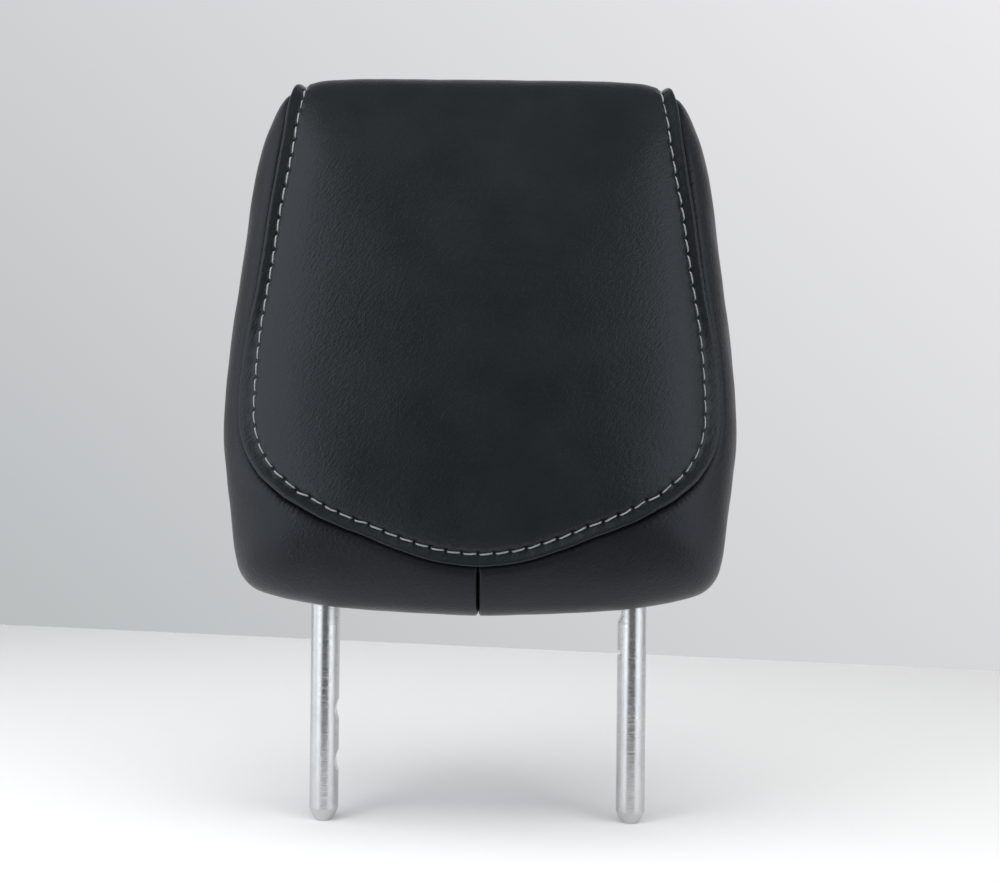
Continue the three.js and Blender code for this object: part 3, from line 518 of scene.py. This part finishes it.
def skirt(edgeVerts, edgeNormals, depths):
    return np.stack([edgeVerts - edgeNormals * depth for depth in depths], 1)


insertSkirt = skirt(insertVerts[:, 0], skinNormal(insertGrid[:, 0]), (0, 0.5, 1.2))
crossSkirt = skirt(insertVerts[-1], skinNormal(insertGrid[-1]), (0, 0.6, 1.2))
insertParts = [(insertVerts, False), (insertSkirt, True), (crossSkirt, False)]
insertPiece = buildHalfAndMirror("leather_insert", insertParts, insertLeather)
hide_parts("front_insert")
print("insert made")


# Side panels: from the insert's seam round the side to the rear seam, and down to the closure
# The part of the far edge that lies along the closure
closureShare = 0.25
closureAngle = math.atan2(loopPoints[lastKnot][1], loopPoints[lastKnot][0])


def farEdge(part):
    part = np.asarray(part, float)
    angle = -np.pi / 2 + (closureAngle + np.pi / 2) * np.minimum(part, closureShare) / closureShare
    onClosure = np.stack([np.cos(angle), np.sin(angle)], -1)
    share = (np.maximum(part, closureShare) - closureShare) / (1 - closureShare)
    onRear = seamLoop(lastKnot - (lastKnot - apexKnot) * share)
    return np.where((part <= closureShare)[..., None], onClosure, onRear)


def nearEdge(part):
    return seamLoop(apexKnot * np.asarray(part, float))


nearLoop = Nearest(seamLine[:frontSeamCount + 1])
nearRear = Nearest(seamLine[frontSeamCount:])
nearClosure = Nearest(skin(farEdge(np.linspace(0, closureShare, 400))))
postHole = {"radius": 7.35, "reach": 22, "dip": 0.9, "below": 25}


# Leather drawn aside round each post
def openForPosts(points):
    out = points.copy()
    for sign in (-1, 1):
        axis = sign * posts["spacing"] / 2
        x, y = out[..., 0] - axis, out[..., 1]
        r = np.maximum(np.hypot(x, y), 1e-4)
        low = out[..., 2] < postHole["below"]
        wide = postHole["radius"] + r * (postHole["reach"] - postHole["radius"]) / postHole["reach"]
        factor = np.where((r < postHole["reach"]) & low, wide / r, 1)
        out[..., 0] = axis + x * factor
        out[..., 1] = y * factor
        out[..., 2] += np.where(low, postHole["dip"] * np.exp(-r / 1.6), 0)
    return out


def sideSurface(chart):
    base, normal = skin(chart), skinNormal(chart)
    fromFront, nearIndex = nearLoop.measure(base)
    fromRear, _ = nearRear.measure(base)
    fromClosure, _ = nearClosure.measure(base)
    height = np.minimum(panelRelief(fromFront), plainRelief(fromRear))
    height = np.minimum(height, plainRelief(fromClosure))
    shallow = 0.5 + 0.5 * smooth(base[..., 2], 0, 7)
    height = np.minimum(height, middleRelief(np.abs(base[..., 0])) * shallow)
    # Tiny gathers square to the seam with the insert
    along = seamLengths[nearIndex]
    gather = np.sin(2 * np.pi * along / 2.7 + 1.7 * np.sin(along / 5.3) + 1.1 * np.sin(along / 2.9))
    height += 0.07 * gather * np.exp(-((fromFront - 2.6) / 1.7)**2)
    clear = smooth(np.minimum(fromFront, fromRear), 4, 20)
    height += 0.22 * ripple(base, 50, 11) * clear + 0.06 * ripple(base, 17, 12) * clear
    return base + normal * height[..., None], normal


sideSizes = {"columns": 440, "wideRows": 44, "slit": 0.25}
sideParts = np.concatenate([[0.0005, 0.0011, 0.0018, 0.0027, 0.0038, 0.0052, 0.007],
                            np.linspace(0.009, 0.9985, sideSizes["columns"] + 1)])
ends = np.array([0, 0.4, 0.9, 1.5, 2.3, 3.3, 4.5, 6.0, 8.0])


def sideRowChart(parts, shares):
    near, far = nearEdge(parts)[:, None], farEdge(parts)[:, None]
    return near + (far - near) * shares[..., None]


def sideBackChart(parts, shares):
    return sideRowChart(parts, 1 - shares)


ceiling = 0.3 * ends / ends[-1]
startShares = np.minimum(sharesFrom(nearEdge, sideRowChart, sideParts, ends), ceiling)
endShares = 1 - np.minimum(sharesFrom(farEdge, sideBackChart, sideParts, ends), ceiling)[:, ::-1]
middleSteps = np.linspace(0, 1, sideSizes["wideRows"] + 1)[1:-1]
middleShares = startShares[:, -1:] + (endShares[:, :1] - startShares[:, -1:]) * middleSteps
sideShares = np.concatenate([startShares, middleShares, endShares], axis=1)
sideGrid = sideRowChart(sideParts, sideShares)
sideVerts, sideNormals = sideSurface(sideGrid)
sideVerts[..., 0] = np.maximum(sideVerts[..., 0], sideSizes["slit"])
sideSkirts = []
for edge, normals in ((sideVerts[:, 0], sideNormals[:, 0]), (sideVerts[:, -1], sideNormals[:, -1])):
    sideSkirts.append(openForPosts(skirt(edge, normals, (0, 0.6, 1.2))))
# At the middle the two panels are drawn together under the leather, so that nothing shows through the seam
middleSkirt = skirt(sideVerts[0], sideNormals[0], (0, 0.5, 0.9, 1.2))
middleSkirt[:, -1, 0] = 0
sideSkirts.append(middleSkirt)
sideVerts = openForPosts(sideVerts)
sideGrids = [(sideVerts, True), (sideSkirts[0], False), (sideSkirts[1], True), (sideSkirts[2], False)]
for side, sign in (("left", -1), ("right", 1)):
    onSide = [(grid * np.array([sign, 1, 1]), flip) for grid, flip in sideGrids]
    piece = buildHalfAndMirror("leather_side_" + side, onSide, sideLeather, mirror=False)
    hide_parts("side_panel_" + side)
print("side panels made")

# Rear panel: from the cross seam under the top edge down to the closure
rearSizes = {"rows": 150, "columns": 70}
rearDown = np.linspace(0, 1, rearSizes["rows"] + 1)
rearDown = np.concatenate([[0, 0.0012, 0.004, 0.009], rearDown[3:-3], [0.991, 0.996, 0.9988, 1]])
rearAcross = np.linspace(0, 1, rearSizes["columns"] + 1)**1.35


def rearChart(down, share):
    knot = seams["crossKnot"] + (lastKnot - seams["crossKnot"]) * down
    rim = throughBack(seamLoop(knot))[:, None]
    middle = (crossMiddleBack[1] + (-1 - crossMiddleBack[1]) * down)[:, None]
    low = smooth(down, 0.6, 1)[:, None, None]
    share = share[None, :]
    rise = rim[..., 1] + (middle - rim[..., 1]) * share * (2 - share)
    bowed = np.stack([rim[..., 0] * (1 - share), rise], -1)
    angle = closureAngle + (-np.pi / 2 - closureAngle) * share
    corner = np.array(loopPoints[lastKnot])
    ring = np.stack([np.cos(angle), np.sin(angle)], -1) + (rim - corner) * (1 - share)[..., None]
    return bowed + (ring - bowed) * low


rearFront = throughBack(rearChart(rearDown, rearAcross))
rearBase, rearNormal = skin(rearFront), skinNormal(rearFront)
centre = np.linalg.norm(rearChart(rearDown, rearAcross), axis=-1) < 0.02
rearNormal[centre] = (0, 1, 0)
fromRear, _ = nearRear.measure(rearBase)
fromCross, _ = nearCross.measure(rearBase)
fromClosure, _ = nearClosure.measure(rearBase)
rearHeight = np.minimum(np.minimum(plainRelief(fromRear), plainRelief(fromCross)), plainRelief(fromClosure))
clear = smooth(np.minimum(fromRear, fromCross), 4, 24)
rearHeight += 0.25 * ripple(rearBase, 55, 21) * clear + 0.06 * ripple(rearBase, 18, 22) * clear
rearVerts = rearBase + rearNormal * rearHeight[..., None]
rearVerts[:, -1, 0] = 0
rearSkirts = []
for edge, normals in ((rearVerts[:, 0], rearNormal[:, 0]), (rearVerts[0], rearNormal[0]),
                      (rearVerts[-1], rearNormal[-1])):
    rearSkirts.append(openForPosts(skirt(edge, normals, (0, 0.6, 1.2))))
rearVerts = openForPosts(rearVerts)
rearParts = [(rearVerts, True), (rearSkirts[0], False), (rearSkirts[1], True), (rearSkirts[2], False)]
rearPiece = buildHalfAndMirror("leather_rear", rearParts, sideLeather)
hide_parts("rear_panel")
print("rear panel made")


# Grey three-ply topstitching, each stitch slightly askew to the line
threadGrey, threadShader = newMaterial("grey polyester thread", Roughness=0.72, Specular_IOR_Level=0.3)
threadPlace = addNode(threadGrey, "TexCoord").outputs["Object"]
threadNoise = addNode(threadGrey, "TexNoise", {"Vector": threadPlace, "Scale": 1 / 0.0006, "Detail": 3.0})
link(threadGrey, ramp(threadGrey, threadNoise.outputs["Fac"], [(0.3, "8b8d8f"), (0.7, "adafb0")]),
     threadShader.inputs["Base Color"])
threadBump = addNode(threadGrey, "Bump", {"Height": threadNoise.outputs["Fac"], "Strength": 0.5,
                                          "Distance": 0.0001})
link(threadGrey, threadBump.outputs["Normal"], threadShader.inputs["Normal"])


def stitchMesh():
    sides, steps = stitching["sides"], stitching["steps"]
    count = int(stitchLengths[-1] // stitching["pitch"])
    half = stitching["length"] / 2
    verts, faces = [], []
    u = np.linspace(-1, 1, steps + 1)
    angles = np.linspace(0, 2 * np.pi, sides, endpoint=False)
    for index in range(count):
        middle = (index + 0.5) * stitching["pitch"]
        lengths = middle + u * half
        chart = np.stack([np.interp(lengths, stitchLengths, stitchChart[:, k]) for k in (0, 1)], -1)
        base, normal = skin(chart), skinNormal(chart)
        along = np.gradient(base, axis=0)
        along /= np.linalg.norm(along, axis=-1, keepdims=True)
        side = np.cross(normal, along)
        lateral = stitching["slant"] * u / 2
        lift = -0.72 + 0.16 * (1 - u**2) - 1.0 * np.abs(u)**9
        radius = stitching["radius"] * (1 - 0.22 * np.abs(u)**6)
        twist = angles[None, :] - 2 * np.pi * stitching["turns"] * u[:, None] / 2
        ply = 0.85 + 0.15 * np.abs(np.cos(1.5 * twist))
        reach = radius[:, None] * ply
        # Both halves lean the same way, as one seam sewn in one go does
        for lean, flip in ((1, False), (-1, True)):
            centreLine = base + normal * lift[:, None] + side * (lean * lateral)[:, None]
            points = (centreLine[:, None] + side[:, None] * (reach * np.cos(angles))[..., None]
                      + normal[:, None] * (0.9 * reach * np.sin(angles))[..., None])
            if flip:
                points = mirrorPoints(points)
            start = len(verts)
            verts.extend(points.reshape(-1, 3))
            for i in range(steps):
                for k in range(sides):
                    a = start + i * sides + k
                    b = start + i * sides + (k + 1) % sides
                    quad = (a, b, b + sides, a + sides)
                    faces.append(quad[::-1] if flip else quad)
            faces.append(tuple(range(start, start + sides)))
            faces.append(tuple(range(start + steps * sides, start + (steps + 1) * sides)))
    return np.array(verts), faces


stitchVerts, stitchFaces = stitchMesh()
stitchPiece = makeMesh("topstitching", stitchVerts, stitchFaces, threadGrey)
print("stitches made", len(stitchFaces))

# Satin steel tube: a bright clear reflection, drawn out along the tube by the fine rings that turning leaves
steel, steelShader = newMaterial("satin chromed steel", Metallic=1.0)
steelPlace = addNode(steel, "TexCoord").outputs["Object"]
turned = addNode(steel, "Mapping", {"Vector": steelPlace, "Scale": (0.02, 0.02, 1)})
lines = addNode(steel, "TexNoise", {"Vector": turned.outputs["Vector"], "Scale": 1 / 0.00012, "Detail": 0.0})
smudges = addNode(steel, "TexNoise", {"Vector": steelPlace, "Scale": 1 / 0.012,
                                      "Detail": 3.0, "Roughness": 0.6})
link(steel, ramp(steel, smudges.outputs["Fac"], [(0.3, "c6c7c7"), (0.7, "d0d0cf")]),
     steelShader.inputs["Base Color"])
polish = addNode(steel, "MapRange", {"Value": smudges.outputs["Fac"], "From Min": 0.3, "From Max": 0.7,
                                     "To Min": 0.17, "To Max": 0.21})
link(steel, polish.outputs["Result"], steelShader.inputs["Roughness"])
lineBump = addNode(steel, "Bump", {"Height": lines.outputs["Fac"], "Strength": 0.9, "Distance": 0.00006})
link(steel, lineBump.outputs["Normal"], steelShader.inputs["Normal"])

# The stay as one round tube, where the solid has flats: tips, notched legs, bends and the crown between them
stay = {"top": 168, "bend": 34, "tipRadius": 3.9, "taper": 6, "sides": 72, "bendSteps": 14}
catches = {"heights": (-48.5, -73.3), "cut": 1.6, "radius": 9}
ramped = {"heights": [-5.5, -1.3, -0.3, 1.8], "cuts": [0, 1.98, 2.2, 0]}
slotted = {"low": -20.9, "high": -18.3, "cut": 1.6}


# How far a notch goes into the inner face of a leg at a height
def notchCut(z, right):
    if right:
        inSlot = (z > slotted["low"]) & (z < slotted["high"])
        onRamp = np.interp(z, ramped["heights"], ramped["cuts"])
        return np.maximum(onRamp, np.where(inSlot, slotted["cut"], 0))
    radius = catches["radius"]
    cuts = [np.sqrt(np.maximum(radius**2 - (z - height)**2, 0)) for height in catches["heights"]]
    return np.maximum(np.maximum(*cuts) - radius + catches["cut"], 0)


def stayGrid():
    low, shoulder, full = -posts["reach"], stay["top"] - stay["bend"], posts["diameter"] / 2
    share = np.linspace(0, 1, 13)
    bow = 0.5 * share + 0.5 * np.sin(share * np.pi / 2)
    slotEdges = [slotted[key] + step for key in ("low", "high") for step in (-0.02, 0.02)]
    straight = np.sort(np.concatenate([np.arange(low + stay["taper"] + 0.4, 12, 0.4), slotEdges,
                                       np.linspace(14, shoulder - 4, 12)]))
    turns = np.linspace(0, np.pi / 2, stay["bendSteps"] + 1)
    upright = np.zeros(1 + len(share) + len(straight))
    x = np.concatenate([upright, stay["bend"] * (1 - np.cos(turns))]) - posts["spacing"] / 2
    z = np.concatenate([[low], low + stay["taper"] * share, straight,
                        shoulder + stay["bend"] * np.sin(turns)])
    turn = np.concatenate([upright, turns])
    radius = np.concatenate([[0], stay["tipRadius"] + (full - stay["tipRadius"]) * bow,
                             np.full(len(straight) + len(turns), full)])
    # The right leg is the left one in reverse order
    x = np.concatenate([x, -x[::-1]])[:, None]
    z = np.concatenate([z, z[::-1]])[:, None]
    turn = np.concatenate([turn, np.pi - turn[::-1]])[:, None]
    radius = np.concatenate([radius, radius[::-1]])[:, None]
    angles = np.linspace(0, 2 * np.pi, stay["sides"] + 1)
    out = radius * np.cos(angles)
    grid = np.stack([x - out * np.cos(turn), radius * np.sin(angles), z + out * np.sin(turn)], -1)
    inner = posts["spacing"] / 2 - full
    for right, sign in ((False, -1), (True, 1)):
        onLeg = (grid[..., 0] * sign > 0) & (grid[..., 2] < 10)
        limit = inner + notchCut(grid[..., 2], right)
        grid[..., 0] = np.where(onLeg, sign * np.maximum(grid[..., 0] * sign, limit), grid[..., 0])
    return grid


stayPiece = buildHalfAndMirror("steel_stay", [(stayGrid(), False)], steel, mirror=False)
stayPiece.data.set_sharp_from_angle(angle=math.radians(28))
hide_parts("stay")
print("stay made")


# Mouldings, fastenings and foam that the cover hides
def plain(name, dark, pale, grain, roughness, metallic=0.0, strength=0.3):
    material, shader = newMaterial(name, Roughness=roughness, Metallic=metallic)
    place = addNode(material, "TexCoord").outputs["Object"]
    noise = addNode(material, "TexNoise", {"Vector": place, "Scale": 1 / grain, "Detail": 3.0})
    tone = ramp(material, noise.outputs["Fac"], [(0.35, dark), (0.65, pale)])
    link(material, tone, shader.inputs["Base Color"])
    bump = addNode(material, "Bump", {"Height": noise.outputs["Fac"], "Strength": strength,
                                      "Distance": grain / 4})
    link(material, bump.outputs["Normal"], shader.inputs["Normal"])
    return material


finishes = {
    "comfort_pad": plain("soft pale foam", "cfc6a8", "ded7bf", 0.0012, 0.95),
    "foam_core": plain("moulded grey foam", "b9b3a1", "cbc6b6", 0.0016, 0.95),
    "carrier": plain("black glass-filled plastic", "1f2022", "2a2b2d", 0.0007, 0.55),
    "carrier_screw": plain("zinc plated steel", "8d9095", "a2a5a9", 0.0008, 0.35, 1.0, 0.1),
    "post_bush": plain("black bush plastic", "161718", "1f2021", 0.0006, 0.45),
    "closure_strip": plain("extruded black plastic", "1b1c1e", "242528", 0.0009, 0.4),
}
for node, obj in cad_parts.items():
    family = [key for key in sorted(finishes, key=len, reverse=True) if node.startswith(key)]
    if family:
        for slot in obj.material_slots:
            slot.material = finishes[family[0]]
print("finishes set")


# Studio: a plain floor and backdrop, with tall panels of light at the sides and one overhead
def stagePlane(name, corners, material):
    mesh = bpy.data.meshes.new(name)
    mesh.from_pydata([tuple(np.array(c) * mm) for c in corners], [], [(0, 1, 2, 3)])
    obj = bpy.data.objects.new(name, mesh)
    bpy.context.scene.collection.objects.link(obj)
    mesh.materials.append(material)


# Matt cloth whose tone changes slowly along one direction
def cloth(name, direction, low, high, stops):
    material, shader = newMaterial(name, Roughness=0.9)
    place = addNode(material, "TexCoord").outputs["Object"]
    along = addNode(material, "VectorMath", {0: place, 1: direction}, operation="DOT_PRODUCT")
    share = addNode(material, "MapRange", {"Value": along.outputs["Value"], "From Min": low * mm,
                                           "From Max": high * mm})
    tone = ramp(material, share.outputs["Result"], stops)
    link(material, tone, shader.inputs["Base Color"])
    return material, shader, tone


# A backdrop shows its written tone as a painted glow, to the camera and in reflections, and gives off no
# light of its own
def backdropShownAsGlow(name, direction, low, high, stops):
    material, shader, tone = cloth(name, direction, low, high, stops)
    ray = addNode(material, "LightPath")
    seen = addNode(material, "Math", {0: ray.outputs["Is Camera Ray"], 1: ray.outputs["Is Glossy Ray"]},
                   operation="MAXIMUM")
    shown = addNode(material, "Emission", {"Color": tone, "Strength": 1.0})
    both = addNode(material, "MixShader", {0: seen.outputs["Value"], 1: shader.outputs["BSDF"],
                                           2: shown.outputs["Emission"]})
    link(material, both.outputs["Shader"], material.node_tree.nodes["Material Output"].inputs["Surface"])
    return material


level = -posts["reach"]
# The floor ends at a table edge close in front of what the camera sees. Over its last few centimetres its
# colour darkens to a painted shade, where cloth falling over the edge would lie in shade.
studio = {"front": -145, "end": 590, "slope": -0.25, "side": 1600, "wall": 1040, "low": -700, "height": 1500}
# Painted shade: the floor's colour runs from dark grey at the table edge to white where the view begins.
floorWithPaintedShade = cloth("white cloth floor with painted front shade", (0, 1, 0), studio["front"], -100, [(0, "3a3b3c"), (1, "f8f8f8")])[0]
# Painted shade on the backdrop: its tone darkens low down and towards the left, and lightens up and to the
# right.
backdropWithPaintedShade = backdropShownAsGlow("pale grey backdrop with painted shade", (0.675, 0, 0.738), -600, 900, [(0, "b6babb"), (1, "ecebee")])
leftEnd = studio["end"] - studio["slope"] * studio["side"]
rightEnd = studio["end"] + studio["slope"] * studio["side"]
side, wall = studio["side"], studio["wall"]
stagePlane("floor", [(-side, studio["front"], level), (side, studio["front"], level),
                     (side, rightEnd, level), (-side, leftEnd, level)], floorWithPaintedShade)
stagePlane("backdrop", [(-side, wall, studio["low"]), (side, wall, studio["low"]),
                        (side, wall, studio["height"]), (-side, wall, studio["height"])], backdropWithPaintedShade)


def areaLight(name, place, aim, size, power, tint="f2f8ff"):
    light = bpy.data.lights.new(name, "AREA")
    light.shape = "RECTANGLE"
    light.size, light.size_y = size[0] * mm, size[1] * mm
    light.energy = power
    light.color = colour(tint)[:3]
    obj = bpy.data.objects.new(name, light)
    bpy.context.scene.collection.objects.link(obj)
    obj.location = Vector(place) * mm
    direction = (Vector(aim) - Vector(place)).normalized()
    obj.rotation_euler = direction.to_track_quat("-Z", "Y").to_euler()
    return obj


panelHeights = (-450, 800)


# An upright panel between two places on the plan, turned to face the object
def panelLight(name, near, far, radiance):
    low, high = panelHeights
    middle = ((near[0] + far[0]) / 2, (near[1] + far[1]) / 2, (low + high) / 2)
    width = math.hypot(far[0] - near[0], far[1] - near[1])
    square = Vector((near[1] - far[1], far[0] - near[0], 0)).normalized()
    if square.dot(Vector(middle)) > 0:
        square = -square
    aim = Vector(middle) + square * 100
    power = radiance * math.pi * width * (high - low) * mm * mm
    areaLight(name, middle, tuple(aim), (width, high - low), power)


panelLight("left window", (-340, -570), (-515, -305), 1.8)
panelLight("left wall of light", (-515, -305), (-870, 233), 1.15)
panelLight("right window", (700, -1060), (840, -480), 1.8)
panelLight("right wall of light", (840, -480), (920, -120), 1.25)
overheadSize = (1800, 1300)
overheadPower = 2.5 * math.pi * overheadSize[0] * overheadSize[1] * mm * mm
overhead = areaLight("light overhead", (0, -500, 1150), (0, 60, 0), overheadSize, overheadPower, "fffdfa")
overhead.visible_glossy = False

world = bpy.data.worlds.new("studio air")
bpy.context.scene.world = world
world.use_nodes = True
world.node_tree.nodes["Background"].inputs["Color"].default_value = colour("c8cacd")
world.node_tree.nodes["Background"].inputs["Strength"].default_value = 0.3

# The photo's viewpoint: metres, degrees, and millimetres for the lens
view = {"place": (0.0094, -0.7, 0.0827), "lens": 51.66, "roll": 0.6}
camera = bpy.data.cameras.new("photo camera")
camera.sensor_fit = "HORIZONTAL"
camera.sensor_width = 36
camera.lens = view["lens"]
camera.clip_start = 0.01
cameraObject = bpy.data.objects.new("photo camera", camera)
bpy.context.scene.collection.objects.link(cameraObject)
tilt = Matrix.Rotation(math.radians(90), 4, "X") @ Matrix.Rotation(math.radians(view["roll"]), 4, "Z")
cameraObject.matrix_world = Matrix.Translation(view["place"]) @ tilt
bpy.context.scene.camera = cameraObject
bpy.context.scene.view_settings.view_transform = "Standard"
